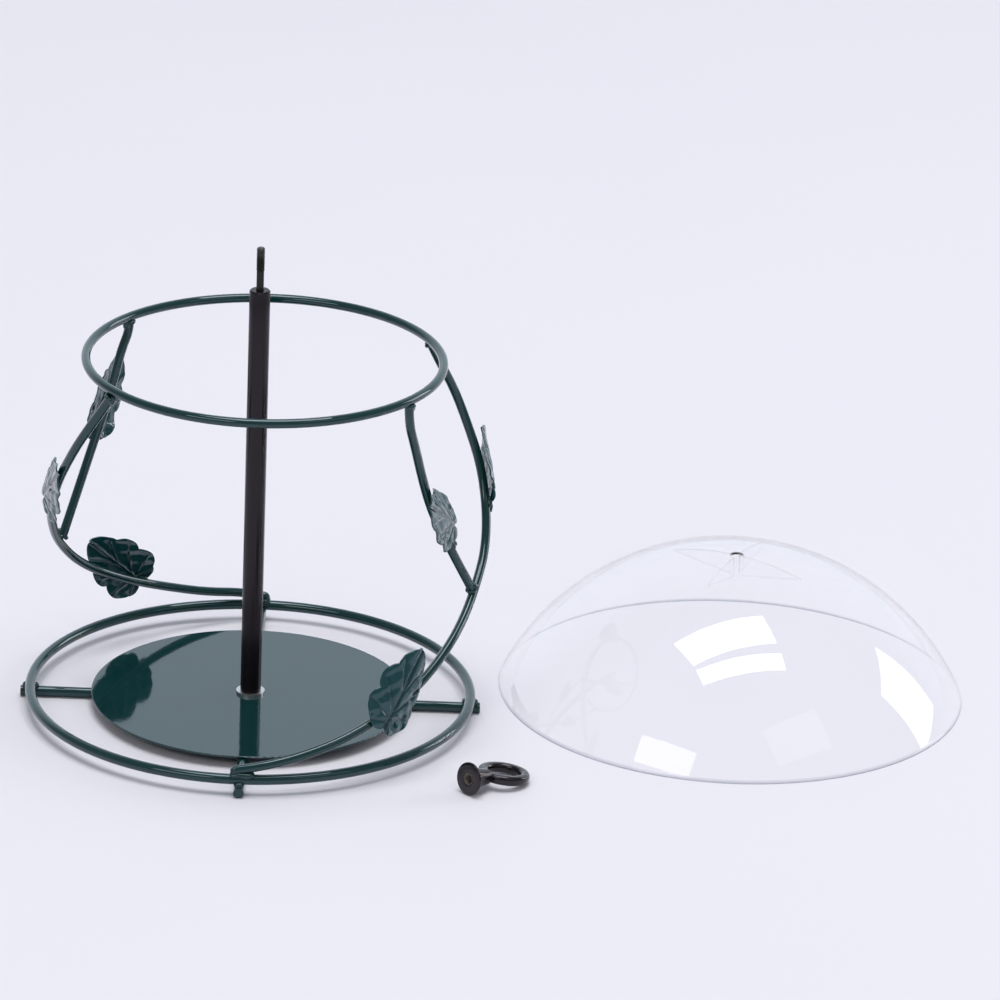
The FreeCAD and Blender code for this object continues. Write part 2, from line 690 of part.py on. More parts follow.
def check_and_write():
    """Stop on a failed object or a bad shape, then write every sub-part to its own file."""
    doc.recompute()
    for item in doc.Objects:
        if "Invalid" in item.State or "Error" in item.State:
            raise RuntimeError(f"{item.Name} failed: {item.State}")
    for item in nodes:
        if item.Shape.isNull() or not item.Shape.isValid() or item.Shape.Volume <= 0:
            raise RuntimeError(f"{item.Label} has a bad shape")
    os.makedirs("parts", exist_ok=True)
    for item in nodes:
        item.Shape.exportStep(f"parts/{item.Label}.step")
        box = item.Shape.BoundBox
        print(f"{item.Label}: {item.Shape.Volume / 1000:.2f} cm3, {len(item.Shape.Solids)} solid,"
              f" {box.XLength:.1f} x {box.YLength:.1f} x {box.ZLength:.1f}, from {box.ZMin:.2f}")


build_base()
build_plate()
build_post()
build_cage()
build_dome()
build_hanger()
check_and_write()
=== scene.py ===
import math

import bmesh
import bpy
import numpy as np
from mathutils import Matrix


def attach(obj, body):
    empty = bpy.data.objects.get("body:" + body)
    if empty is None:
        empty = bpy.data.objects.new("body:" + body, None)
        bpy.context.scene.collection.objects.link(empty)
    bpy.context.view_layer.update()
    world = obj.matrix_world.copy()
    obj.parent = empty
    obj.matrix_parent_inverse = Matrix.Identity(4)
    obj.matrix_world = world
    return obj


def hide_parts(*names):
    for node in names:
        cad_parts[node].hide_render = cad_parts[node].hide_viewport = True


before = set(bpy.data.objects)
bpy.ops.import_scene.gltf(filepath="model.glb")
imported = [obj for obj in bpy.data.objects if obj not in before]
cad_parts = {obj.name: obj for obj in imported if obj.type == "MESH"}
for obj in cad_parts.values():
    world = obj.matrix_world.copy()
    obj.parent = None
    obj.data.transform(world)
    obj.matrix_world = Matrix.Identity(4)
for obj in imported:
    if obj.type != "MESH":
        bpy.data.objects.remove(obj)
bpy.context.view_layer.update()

# Sizes shared with the frame, in metres

MM = 0.001
MERGE = 1e-6
UP = np.array([0.0, 0.0, 1.0])

BASE_RADIUS, BASE_WIRE, BASE_RING_Z = 0.1355, 0.003175, 0.009625
SPOKE_TOP = 0.00635
VINE_WIRE = 0.0028
PLATE_RADIUS, PLATE_BOTTOM = 0.098, 0.00645

STUD_FOOT, STUD_TIP = 0.25775, 0.29845
STUD_NECK, STUD_CREST, STUD_ROOT = 0.00225, 0.0025, 0.00208
STUD_THREAD, STUD_BEVEL, STUD_CLEAR = 0.28345, 0.0007, 0.0005
THREAD_PITCH, THREAD_ROWS, THREAD_COLUMNS, THREAD_FADE = 0.0008, 9, 56, 0.0006

DOME_PLACE = np.array([0.297, 0.051, 0.0])
DOME_HEIGHT, DOME_RIM, DOME_WALL, DOME_RIM_INSET = 0.091, 0.145, 0.0012, 0.0005
DOME_SPHERE = (DOME_RIM ** 2 + DOME_HEIGHT ** 2) / (2 * DOME_HEIGHT)
DOME_CENTRE = DOME_HEIGHT - DOME_SPHERE
BOSS_RADIUS, BOSS_BORE, BOSS_BOTTOM = 0.0049, 0.0029, 0.075
GUSSET_REACH, GUSSET_HALF, GUSSET_FOOT, GUSSET_TURN = 0.044, 0.0008, 0.077, math.radians(63)
GUSSET_IN_BOSS, GUSSET_IN_DOME, GUSSET_ROOT = 0.0006, 0.0004, 0.0011

HANGER_PLACE = np.array([0.1366, -0.1228, 0.0])
HANGER_TURN = math.radians(44)
FLANGE_RADIUS, FLANGE_EDGE, FLANGE_THICK = 0.010, 0.0011, 0.0022
COLLAR_ROOT, COLLAR_FOOT, COLLAR_NECK, COLLAR_LENGTH = 0.0066, 0.001, 0.0047, 0.017
EYE_RADIUS, EYE_SECTION, EYE_SQUARENESS = 0.0128, 0.006, 2.7
INSERT_BORE, INSERT_RADIUS, INSERT_LENGTH, INSERT_HOLE = 0.0026, 0.0038, 0.011, 0.0039
INSERT_SLACK, INSERT_RIDGE, INSERT_BEVEL, INSERT_BEVEL_SLOPE = 0.00015, 0.00035, 0.0006, 0.6


# Grids of points made into pieces

def unit(way):
    """The direction of a vector, or of each row of vectors: the vector over its length."""
    way = np.asarray(way, float)
    return way / np.linalg.norm(way, axis=-1, keepdims=True)


def grid_faces(rows, columns, rows_close, columns_close):
    """Corner numbers of a grid's quads: each point with its neighbours to the right and above."""
    r, c = np.meshgrid(np.arange(rows - (not rows_close)),
                       np.arange(columns - (not columns_close)), indexing="ij")
    above, right = (r + 1) % rows, (c + 1) % columns
    corners = (r * columns + c, r * columns + right, above * columns + right, above * columns + c)
    return np.stack(corners, -1).reshape(-1, 4)


def joined(skins):
    """Points, quads and marks of several grids in one list: corner numbers run on from grid to grid."""
    points, faces, marks, count = [], [], [], 0
    for skin in skins:
        grid = skin["points"]
        closing = skin.get("rows_close", False), skin.get("columns_close", False)
        faces.append(grid_faces(*grid.shape[:2], *closing) + count)
        points.append(grid.reshape(-1, 3))
        marks.append(np.broadcast_to(skin.get("marks", 0.0), grid.shape[:2]).ravel())
        count += len(points[-1])
    return np.concatenate(points), np.concatenate(faces), np.concatenate(marks)


def piece(name, skins, finish, body, stands_for=(), crease=None):
    """A mesh from grids of points: equal points merge, which closes seams and poles; faces turn out."""
    points, faces, marks = joined(skins)
    mesh = bpy.data.meshes.new(name)
    mesh.vertices.add(len(points))
    mesh.vertices.foreach_set("co", points.ravel())
    mesh.loops.add(faces.size)
    mesh.loops.foreach_set("vertex_index", faces.ravel())
    mesh.polygons.add(len(faces))
    mesh.polygons.foreach_set("loop_start", np.arange(0, faces.size, 4))
    mesh.attributes.new("groove", "FLOAT", "POINT").data.foreach_set("value", marks)
    mesh.update(calc_edges=True)
    work = bmesh.new()
    work.from_mesh(mesh)
    bmesh.ops.remove_doubles(work, verts=work.verts, dist=MERGE)
    bmesh.ops.recalc_face_normals(work, faces=work.faces)
    work.to_mesh(mesh)
    work.free()
    mesh.shade_smooth()
    if crease:
        mesh.set_sharp_from_angle(angle=math.radians(crease))
    mesh.materials.append(finish)
    made = bpy.data.objects.new(name, mesh)
    bpy.context.scene.collection.objects.link(made)
    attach(made, body)
    if stands_for:
        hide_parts(*stands_for)
    return made


def revolved(radii, heights, steps):
    """A profile of radii and heights carried round the Z axis; the profile closes on itself."""
    turn = np.linspace(0, 2 * math.pi, steps, endpoint=False)
    ring = np.stack([np.cos(turn), np.sin(turn), np.zeros(steps)], -1)
    lift = np.stack([0 * heights, 0 * heights, heights], -1)
    return radii[:, None, None] * ring[None] + lift[:, None]


# Shader maths

class Tone:
    """One output of a material's nodes; sums, differences and products add Math nodes."""

    def __init__(self, tree, socket=None):
        self.tree, self.socket = tree, socket

    def node(self, kind, settings=None, sockets=None, output=0):
        """A node of that kind: its settings are made first, then its sockets are filled or linked."""
        made = self.tree.nodes.new("ShaderNode" + kind)
        for name, setting in (settings or {}).items():
            setattr(made, name, setting)
        for name, source in (sockets or {}).items():
            if isinstance(source, Tone):
                self.tree.links.new(source.socket, made.inputs[name])
            else:
                made.inputs[name].default_value = source
        return Tone(self.tree, made.outputs[output] if made.outputs else None)

    def math(self, operation, first, second):
        """A Math node of that operation on two values or links."""
        return self.node("Math", {"operation": operation}, {0: first, 1: second})

    def __add__(self, other):
        return self.math("ADD", self, other)

    def __radd__(self, other):
        return self.math("ADD", other, self)

    def __sub__(self, other):
        return self.math("SUBTRACT", self, other)

    def __rsub__(self, other):
        return self.math("SUBTRACT", other, self)

    def __mul__(self, other):
        return self.math("MULTIPLY", self, other)

    def __rmul__(self, other):
        return self.math("MULTIPLY", other, self)


def noise(place, scale, detail=2.0, roughness=0.5):
    """Soft noise from 0 to 1 with about scale patches in a metre."""
    return place.node("TexNoise", None, {
        "Vector": place, "Scale": scale, "Detail": detail, "Roughness": roughness}, "Fac")


def marked(place):
    """Marks that the points of a piece's grids carry: grooves, rims and edges."""
    return place.node("Attribute", {"attribute_name": "groove"}, None, "Fac")


def stretched(place, scale, turn=(0, 0, 0)):
    """Object coordinates turned, then scaled along each axis."""
    return place.node("Mapping", None, {"Vector": place, "Rotation": turn, "Scale": scale})


def between(source, low, high):
    """0 below low, 1 above high, and a smooth rise between."""
    return source.node("MapRange", {"interpolation_type": "SMOOTHSTEP"},
                       {"Value": source, "From Min": low, "From Max": high})


def blended(share, first, second):
    """Colour that goes from the first to the second as share goes from 0 to 1."""
    return share.node("Mix", {"data_type": "RGBA"}, {0: share, 6: first, 7: second}, 2)


def finish(name):
    """A new material and its object coordinates."""
    made = bpy.data.materials.new(name)
    made.use_nodes = True
    made.node_tree.nodes.clear()
    start = Tone(made.node_tree)
    place = start.node("TexCoord", None, None, "Object")
    return made, place


def surface(place, sockets):
    """Ends a material: a Principled shader with these sockets, into the output."""
    shader = place.node("BsdfPrincipled", None, sockets)
    place.node("OutputMaterial", None, {"Surface": shader})


def bumped(place, height, distance):
    """Normal of a surface raised by a height from 0 to 1 times a distance in metres."""
    return place.node("Bump", None, {"Height": height, "Distance": distance, "Strength": 1.0})


# Finishes

def green_coat(name, deep, pale, gloss, peel, shine=0.55, grain=260):
    """Dark green powder coat: slow patches, orange peel, small nibs, and painted shade that darkens the
    colour in grooves.
    """
    made, place = finish(name)
    patches = noise(place, 30, 3)
    grooves = marked(place)
    fine = noise(place, 420, 3)
    nibs = between(noise(place, 900, 1), 0.72, 0.80)
    film = blended(patches, deep, pale)
    # painted shade: the colour goes darker where the groove mark is high, in the veins and midrib
    colour = blended(grooves * 0.6, film, (0.0020, 0.015, 0.0155, 1))
    skin = noise(place, grain, 2) * 0.8 + fine * 0.2 + nibs * 0.3
    surface(place, {
        "Base Color": colour,
        "Roughness": gloss + (fine - 0.5) * 0.06 + grooves * 0.05 + nibs * 0.1,
        "Coat Weight": 0.30,
        "Coat Roughness": 0.03,
        "Specular IOR Level": shine,
        "Specular Tint": (0.72, 0.87, 1.0, 1),
        "Normal": bumped(place, skin, peel),
    })
    return made


def black_coat(name):
    """Satin black coat on a drawn bar: faint lines along the bar, fine grain, slow patches of sheen."""
    made, place = finish(name)
    drawn = noise(stretched(place, (1, 1, 0.02)), 700, 2)
    grain = noise(place, 1500, 2)
    patches = noise(place, 25, 3)
    shade = patches * 0.6 + grain * 0.4
    colour = blended(shade, (0.0050, 0.0034, 0.0050, 1), (0.0100, 0.0072, 0.0102, 1))
    surface(place, {
        "Base Color": colour,
        "Roughness": 0.22 + (patches - 0.5) * 0.10 + (grain - 0.5) * 0.08,
        "Specular IOR Level": 0.34,
        "Specular Tint": (1.0, 0.90, 1.0, 1),
        "Normal": bumped(place, drawn * 0.6 + grain * 0.4, 0.00001),
    })
    return made


def black_plastic(name):
    """Moulded black plastic: a fine even grain with slow flow marks and small scuffs."""
    made, place = finish(name)
    grain = noise(place, 2600, 2)
    flow = noise(stretched(place, (1, 1, 2.5)), 120, 3)
    scuffs = between(noise(stretched(place, (1, 3, 1), (0.4, 0.2, 0.7)), 500, 2), 0.62, 0.74)
    colour = blended(flow, (0.0040, 0.0032, 0.0046, 1), (0.0085, 0.0072, 0.0096, 1))
    surface(place, {
        "Base Color": blended(scuffs * 0.25, colour, (0.04, 0.038, 0.042, 1)),
        "Roughness": 0.10 + (flow - 0.5) * 0.06 + scuffs * 0.10,
        "Coat Weight": 0.25,
        "Coat Roughness": 0.05,
        "Specular IOR Level": 0.38,
        "Specular Tint": (1.0, 0.89, 1.0, 1),
        "Normal": bumped(place, grain * 0.5 + flow * 0.5, 0.00001),
    })
    return made


def turned_steel(name, dark, bright, gloss):
    """Turned metal: fine rings about the upright axis with small stains."""
    made, place = finish(name)
    rings = place.node("TexWave", {"wave_type": "RINGS", "rings_direction": "Z"},
                       {"Vector": place, "Scale": 900.0, "Distortion": 1.5, "Detail": 2.0}, "Fac")
    stains = noise(place, 160, 4, 0.6)
    surface(place, {
        "Base Color": blended(stains, dark, bright),
        "Metallic": 1.0,
        "Roughness": gloss + (stains - 0.5) * 0.2 + (rings - 0.5) * 0.08,
        "Normal": bumped(place, rings, 0.00002),
    })
    return made


def stud_steel(name):
    """Blackened stud: dark oxide below, rubbed grey at the tip, with fine grain."""
    made, place = finish(name)
    height = place.node("SeparateXYZ", None, {0: place}, "Z")
    grain = noise(place, 1400, 3)
    rubbed = between(height + (grain - 0.5) * 0.004, 0.2905, 0.2945)
    oxide = blended(grain, (0.010, 0.009, 0.0085, 1), (0.022, 0.019, 0.018, 1))
    surface(place, {
        "Base Color": blended(rubbed * 0.7, oxide, (0.09, 0.088, 0.086, 1)),
        "Metallic": 0.35,
        "Roughness": 0.42 - rubbed * 0.08 + (grain - 0.5) * 0.2,
        "Normal": bumped(place, grain, 0.00002),
    })
    return made


def clear_plastic(name):
    """Clear moulded plastic with a faint haze; it lets shadows and scattered light through.

    The rim's mark of 1 paints a grey shade on it, and the bore mouth's mark of -1 lets it be seen
    straight through.
    """
    made, place = finish(name)
    haze = noise(place, 14, 3)
    rim = marked(place)
    clear = blended(haze, (0.992, 0.992, 0.994, 1), (1.0, 1.0, 1.0, 1))
    shell = place.node("BsdfPrincipled", None, {
        # painted shade: grey base colour along the rim where the mark is 1
        "Base Color": blended(rim, clear, (0.26, 0.28, 0.36, 1)),
        "Roughness": haze * 0.015,
        "IOR": 1.44,
        "Transmission Weight": 1.0,
        "Specular Tint": (0.74, 0.74, 0.76, 1),
    })
    shadow = place.node("LightPath", None, None, "Is Shadow Ray")
    scattered = place.node("LightPath", None, None, "Is Diffuse Ray")
    pale = place.node("BsdfTransparent", None, {"Color": (0.985, 0.985, 0.987, 1)})
    mouth = between(0 - rim, 0.2, 1.0) * 0.8
    through = shadow.math("MAXIMUM", shadow.math("MAXIMUM", shadow, scattered), mouth)
    both = place.node("MixShader", None, {0: through, 1: shell, 2: pale})
    place.node("OutputMaterial", None, {"Surface": both})
    return made


def web_plastic(name):
    """Thin clear webs: nearly see-through, with painted grey shade lines along their edges and roots,
    and faint flow lines.
    """
    made, place = finish(name)
    flow = noise(place, 90, 3)
    edges = marked(place)
    surface(place, {
        "Base Color": blended(flow, (0.66, 0.67, 0.72, 1), (0.78, 0.79, 0.83, 1)),
        "Roughness": 0.08 + flow * 0.06,
        # painted shade: marked edges and roots turn more opaque and show the grey base colour
        "Alpha": 0.008 + flow * 0.016 + edges * 0.20,
    })
    return made


def studio_floor(name):
    """Matt pale floor with a trace of grain."""
    made, place = finish(name)
    grain = noise(place, 3, 4)
    surface(place, {
        "Base Color": blended(grain, (0.82, 0.81, 0.875, 1), (0.84, 0.83, 0.89, 1)),
        "Roughness": 0.7 + (grain - 0.5) * 0.1,
        "Specular IOR Level": 0.1,
    })
    return made


wire_coat = green_coat("green_coat_wire", (0.0034, 0.030, 0.0285, 1), (0.0058, 0.041, 0.0385, 1),
                       gloss=0.05, peel=0.000012)
plate_coat = green_coat("green_coat_plate", (0.0040, 0.029, 0.0305, 1), (0.0060, 0.037, 0.0395, 1),
                        gloss=0.06, peel=0.00003, shine=0.56, grain=400)
leaf_coat = green_coat("green_coat_leaf", (0.0036, 0.045, 0.0490, 1), (0.0060, 0.060, 0.0650, 1),
                       gloss=0.10, peel=0.00005, shine=0.60)
post_coat = black_coat("black_coat_post")
hanger_plastic = black_plastic("black_plastic_hanger")
washer_steel = turned_steel("bright_steel_washer", (0.55, 0.56, 0.57, 1), (0.80, 0.80, 0.81, 1),
                            gloss=0.34)
hidden_steel = turned_steel("bright_steel_screw", (0.34, 0.34, 0.35, 1), (0.58, 0.58, 0.58, 1),
                            gloss=0.30)
insert_steel = turned_steel("insert_metal_thread", (0.07, 0.065, 0.055, 1), (0.17, 0.16, 0.135, 1),
                            gloss=0.36)
stud_finish = stud_steel("dark_steel_stud")
dome_plastic = clear_plastic("clear_plastic_dome")
boss_plastic = web_plastic("clear_plastic_webs")

KEPT_NODES = (
    (wire_coat, ("base_ring", "top_ring", "vine_right", "vine_left", "branch_right", "branch_left",
                 "spoke_right", "spoke_back", "spoke_left", "spoke_front")),
    (plate_coat, ("seed_plate",)),
    (post_coat, ("center_post",)),
    (washer_steel, ("post_washer",)),
    (hidden_steel, ("lock_washer", "base_screw")),
)
for node_finish, labels in KEPT_NODES:
    for label in labels:
        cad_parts[label].material_slots[0].material = node_finish


# Leaves

LEAF_LENGTH, LEAF_HALF, LEAF_THICK, LEAF_SEAT = 54 * MM, 18.5 * MM, 1 * MM, 0.38
LEAF_FOLD, LEAF_CREASE, LEAF_ARCH = 4.5 * MM, 3.3 * MM, 1 * MM
LEAF_LOBES = (
    ((0.02, 0.00), (-0.045, 0.30), (0.03, 0.66)),
    ((0.03, 0.66), (0.19, 1.00), (0.385, 0.84)),
    ((0.385, 0.84), (0.56, 0.94), (0.715, 0.63)),
    ((0.715, 0.63), (0.875, 0.45), (1.00, 0.00)),
)
LEAF_VEINS = ((0.10, 0.02, 0.60), (0.12, 0.24, 0.97), (0.17, 0.58, 0.90), (0.40, 0.82, 0.50))
MIDRIB_DEPTH, MIDRIB_WIDTH, MIDRIB_SPAN = 1.1 * MM, 1.3 * MM, (0.08, 0.92)
VEIN_DEPTH, VEIN_WIDTH = 0.75 * MM, 0.85 * MM
QUILT_RISE, QUILT_WIDTH = 0.6 * MM, 4.2 * MM
LEAF_CURL = 1.3 * MM
DENT_RISE, DENT_LONG, DENT_WIDE = 0.42 * MM, 14 * MM, 10 * MM
ARC_STEPS, BLADE_STEPS, EDGE_STEPS, EDGE_SHARE = 36, 34, 6, 0.05


def arc(start, middle, end, steps):
    """Points on the circle through three points of a plane, from the first to the last."""
    a, b, c = (np.array(p, float) for p in (start, middle, end))
    sides = 2 * np.array([b - a, c - a])
    centre = np.linalg.solve(sides, np.array([b @ b - a @ a, c @ c - a @ a]))
    turns = np.unwrap([math.atan2(*(p - centre)[::-1]) for p in (a, b, c)])
    turn = np.linspace(turns[0], turns[2], steps)
    return centre + np.hypot(*(a - centre)) * np.stack([np.cos(turn), np.sin(turn)], -1)


def blade_relief(x, y, curl):
    """Height of a leaf's middle sheet and how deep its grooves lie there.

    Both halves fall from a rounded, arched ridge. The midrib and the side veins are Gaussian grooves
    about their lines, the fields between them swell, and the lobes' ends curl with the fourth power of
    the distance from the midrib. Crossing waves, none on the midrib, give the hammered look.
    """
    wide, share = np.abs(y), x / LEAF_LENGTH + LEAF_SEAT
    slope = LEAF_FOLD / (math.hypot(LEAF_HALF, LEAF_CREASE) - LEAF_CREASE)
    ridge = slope * (np.hypot(y, LEAF_CREASE) - LEAF_CREASE)
    midrib = np.exp(-(wide / MIDRIB_WIDTH) ** 2)
    swell = 1 - np.exp(-(wide / QUILT_WIDTH) ** 2)
    groove = MIDRIB_DEPTH * midrib
    for root, tip_share, tip_wide in LEAF_VEINS:
        run = np.clip(wide / (tip_wide * LEAF_HALF), 0, 1.2)
        line = root + (tip_share - root) * run ** 0.85
        lean = math.hypot((tip_share - root) * LEAF_LENGTH, tip_wide * LEAF_HALF)
        away = np.abs(share - line) * LEAF_LENGTH * tip_wide * LEAF_HALF / lean
        vein = np.exp(-(away / VEIN_WIDTH) ** 2) * np.clip(1.15 - run, 0, 1) ** 0.5
        groove = np.maximum(groove, VEIN_DEPTH * vein)
        swell = swell * (1 - np.exp(-(away / QUILT_WIDTH) ** 2))
    lobes = (wide / LEAF_HALF) ** 4 * np.cos(curl + 5 * share)
    tip = np.clip(share - 0.6, 0, 1) ** 2 * 6 * math.sin(curl)
    arch = LEAF_ARCH * (2 * x / LEAF_LENGTH) ** 2
    along = np.sin(2 * math.pi * x / DENT_LONG + 3 * curl)
    across = np.sin(2 * math.pi * wide / DENT_WIDE + 5 * curl)
    dents = DENT_RISE * along * across * np.clip(1.6 * wide / LEAF_HALF, 0, 1)
    sheet = LEAF_THICK / 2 - ridge - arch - groove
    return sheet + QUILT_RISE * swell + LEAF_CURL * (lobes + tip) + dents, groove / MIDRIB_DEPTH


def blade(curl):
    """A leaf in its own frame, midrib along X and outer face up: lines run from midrib to lobed rim.

    The outer and inner sheet lie half a thickness above and below the middle sheet, and close in a
    half round on the rim.
    """
    lobes = (np.array(LEAF_LOBES) - (LEAF_SEAT, 0)) * (LEAF_LENGTH, LEAF_HALF)
    rim = np.concatenate([arc(*lobe, ARC_STEPS)[:-1] for lobe in lobes] + [lobes[-1, -1:]])
    first, last = ((share - LEAF_SEAT) * LEAF_LENGTH for share in MIDRIB_SPAN)
    root = np.stack([np.clip(rim[:, 0], first, last), 0 * rim[:, 0]], -1)
    out = np.linspace(0, 1 - EDGE_SHARE, BLADE_STEPS)
    bend = np.linspace(0, math.pi / 2, EDGE_STEPS)[1:]
    out = np.concatenate([out, 1 - EDGE_SHARE + EDGE_SHARE * np.sin(bend)])
    flat = np.clip((out - 1 + EDGE_SHARE) / EDGE_SHARE, 0, 1)
    half = LEAF_THICK / 2 * np.sqrt(1 - flat ** 2)
    x, wide = np.moveaxis(root[None] + out[:, None, None] * (rim - root)[None], -1, 0)
    skins = []
    for side in (1, -1):
        y = side * wide
        height, groove = blade_relief(x, y, curl + 0.6 * side)
        for face in (1, -1):
            points = np.stack([x, y, height + face * half[:, None]], -1)
            skins.append({"points": points, "marks": groove})
    return skins


def lie(points, faces, outwards):
    """Centre and ways of a leaf, along, across and outwards, from the spread of its faces' areas."""
    corners = points[faces]
    cross = np.cross(corners[:, 2] - corners[:, 0], corners[:, -1] - corners[:, 1])
    area = np.linalg.norm(cross, axis=1)
    middle = corners.mean(axis=1)
    centre = np.average(middle, axis=0, weights=area)
    off = middle - centre
    ways = np.linalg.eigh((off * area[:, None]).T @ off)[1]
    tip = points[np.argmax(np.linalg.norm(points - centre, axis=1))] - centre
    midrib = ways[:, 2] * np.sign(ways[:, 2] @ tip)
    normal = ways[:, 0] * np.sign(ways[:, 0] @ outwards(centre))
    return centre, np.stack([midrib, np.cross(normal, midrib), normal], -1)


def node_faces(label):
    """Points and triangles of a node's mesh."""
    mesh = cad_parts[label].data
    points = np.empty(3 * len(mesh.vertices))
    mesh.vertices.foreach_get("co", points)
    corners = np.empty(len(mesh.loops), int)
    mesh.loops.foreach_get("vertex_index", corners)
    return points.reshape(-1, 3), corners.reshape(-1, 3)


def leaf(label, curl):
    """A veined leaf laid where its node is: centre on centre, midrib on midrib, outer side out."""
    skins = blade(curl)
    own_points, own_faces, _ = joined(skins)
    own_centre, own_ways = lie(own_points, own_faces, lambda centre: np.array([0, 0, 1.0]))
    centre, ways = lie(*node_faces(label), lambda centre: centre * (1, 1, 0))
    turn = ways @ own_ways.T
    for skin in skins:
        skin["points"] = (skin["points"] - own_centre) @ turn.T + centre
    return piece(label + "_veined", skins, leaf_coat, "cage", [label])


for label, curl in (
    ("leaf_low_right", 0.3), ("leaf_high_right", 1.1), ("leaf_branch_right", 2.0),
    ("leaf_low_left", 0.6), ("leaf_high_left", 1.6), ("leaf_branch_left", 2.6),
):
    leaf(label, curl)


# Welds: each bead's half lengths along, across and above its wire

SPOKE_BEAD, SPOKE_BEAD_OFF, SPOKE_BEAD_LIFT = (0.0032, 0.0026, 0.0021), 0.0027, 0.0006
PLATE_BEAD, PLATE_BEAD_IN, PLATE_BEAD_OFF = (0.0060, 0.0014, 0.0011), 0.006, 0.0022
PLATE_BEAD_DROP = 0.0008
VINE_BEAD, VINE_BEAD_OFF, VINE_BEAD_ON = (0.0075, 0.0016, 0.0018), 0.0021, 0.004
VINE_KNOB, VINE_KNOB_LIFT = (0.0032, 0.0029, 0.0029), 0.0022
END_BEAD, END_BEAD_OFF, END_BEAD_BACK = (0.0034, 0.0021, 0.0021), 0.0028, 0.0016
END_COLLAR_RADIUS, END_COLLAR_THICK = VINE_WIRE + 0.0001, 0.0011
TACK_BEAD, TACK_OFF, TACK_SHIFT = (0.0036, 0.0014, 0.0015), 0.0019, 0.0012
TACK_MARGIN, TACK_REACH = 0.004, 0.009
END_REACH, END_TOUCH, END_FLAT = 0.03, 0.0002, 0.00002
DROP_ROWS, DROP_COLUMNS, COLLAR_ROWS, COLLAR_COLUMNS = 15, 28, 48, 16


def drop(centre, along, up, lengths, phase):
    """A lumpy drop of weld: a ball drawn out along three ways, its radius rippled by crossing waves."""
    along = unit(along)
    across = unit(np.cross(up, along))
    ways = np.stack([along, across, np.cross(along, across)])
    down, turn = np.meshgrid(np.linspace(0, math.pi, DROP_ROWS),
                             np.linspace(0, 2 * math.pi, DROP_COLUMNS, endpoint=False), indexing="ij")
    ball = np.stack([np.cos(down), np.sin(down) * np.cos(turn), np.sin(down) * np.sin(turn)], -1)
    lumps = 0.09 * np.sin(3 * down + phase) * np.cos(2 * turn + phase)
    ripple = 1 + (lumps + 0.05 * np.sin(5 * turn + 4 * down + 2 * phase)) * np.sin(down) ** 2
    points = np.asarray(centre) + (ball * ripple[..., None] * np.asarray(lengths)) @ ways
    return {"points": points, "columns_close": True}


def collar(centre, way, radius, thick, phase):
    """A rippled bead round a wire's end: a circle whose size waves, carried round the wire's axis."""
    way = unit(way)
    side = unit(np.cross(way, (0.3, 0.5, 0.1)))
    other = np.cross(way, side)
    turn, spin = np.meshgrid(np.linspace(0, 2 * math.pi, COLLAR_ROWS, endpoint=False),
                             np.linspace(0, 2 * math.pi, COLLAR_COLUMNS, endpoint=False), indexing="ij")
    size = thick * (1 + 0.16 * np.sin(5 * turn + phase) + 0.08 * np.cos(8 * turn - phase))
    reach = radius + size * np.cos(spin)
    round_way = np.cos(turn)[..., None] * side + np.sin(turn)[..., None] * other
    points = np.asarray(centre) + reach[..., None] * round_way + (size * np.sin(spin))[..., None] * way
    return {"points": points, "rows_close": True, "columns_close": True}


def spot(angle, radius, height):
    """Point about the post's axis by angle in degrees, radius and height."""
    turn = math.radians(angle)
    return np.array([radius * math.cos(turn), radius * math.sin(turn), height])


welds = []
for number, angle in enumerate((0, 90, 180, 270)):
    out, along = spot(angle, 1, 0), spot(angle + 90, 1, 0)
    for side in (-1, 1):
        at_ring = spot(angle, BASE_RADIUS + side * SPOKE_BEAD_OFF, SPOKE_TOP + SPOKE_BEAD_LIFT)
        under_plate = spot(angle, PLATE_RADIUS - PLATE_BEAD_IN, PLATE_BOTTOM - PLATE_BEAD_DROP)
        welds.append(drop(at_ring, along, UP, SPOKE_BEAD, number + side))
        welds.append(drop(under_plate + along * side * PLATE_BEAD_OFF, out, UP, PLATE_BEAD,
                          2 * number + side))
for angle, phase in ((-91, 0.4), (89, 1.9)):
    along = spot(angle + 90, 1, 0)
    foot = spot(angle, BASE_RADIUS, BASE_RING_Z + BASE_WIRE)
    for side in (-1, 1):
        beside = foot + spot(angle, side * VINE_BEAD_OFF, 0) + along * VINE_BEAD_ON
        welds.append(drop(beside, along, UP, VINE_BEAD, phase + side))
    welds.append(drop(foot + UP * VINE_KNOB_LIFT, along, UP, VINE_KNOB, phase))


def wire_end(label, side):
    """Centre and way of a wire's upper or lower end: mean and normal of its flat end's triangles."""
    points, faces = node_faces(label)
    corners = points[faces]
    cross = np.cross(corners[:, 1] - corners[:, 0], corners[:, 2] - corners[:, 0])
    area = np.maximum(np.linalg.norm(cross, axis=1), 1e-15)
    normals = cross / area[:, None]
    tip = points[np.argmax(side * points[:, 2])]
    inner = points[np.linalg.norm(points - tip, axis=1) < END_REACH].mean(axis=0)
    touching = np.linalg.norm(corners - tip, axis=2).min(axis=1) < END_TOUCH
    way = normals[np.argmax(np.where(touching, normals @ unit(tip - inner), -1))]
    flat = (normals @ way > 0.999) & (np.abs((corners - tip) @ way).max(axis=1) < END_FLAT)
    return np.average(corners[flat].mean(axis=1), axis=0, weights=area[flat]), way


for label, side, phase in (
    ("branch_right", -1, 0.2), ("branch_left", -1, 1.1), ("vine_right", 1, 2.3),
    ("vine_left", 1, 3.1), ("branch_right", 1, 4.0), ("branch_left", 1, 5.2),
):
    end, way = wire_end(label, side)
    out = unit(end * (1, 1, 0))
    beside = out if side < 0 else np.cross(UP, out)
    welds.append(collar(end, way, END_COLLAR_RADIUS, END_COLLAR_THICK, phase))
    welds.append(drop(end + beside * END_BEAD_OFF - way * END_BEAD_BACK, way, out, END_BEAD, phase))


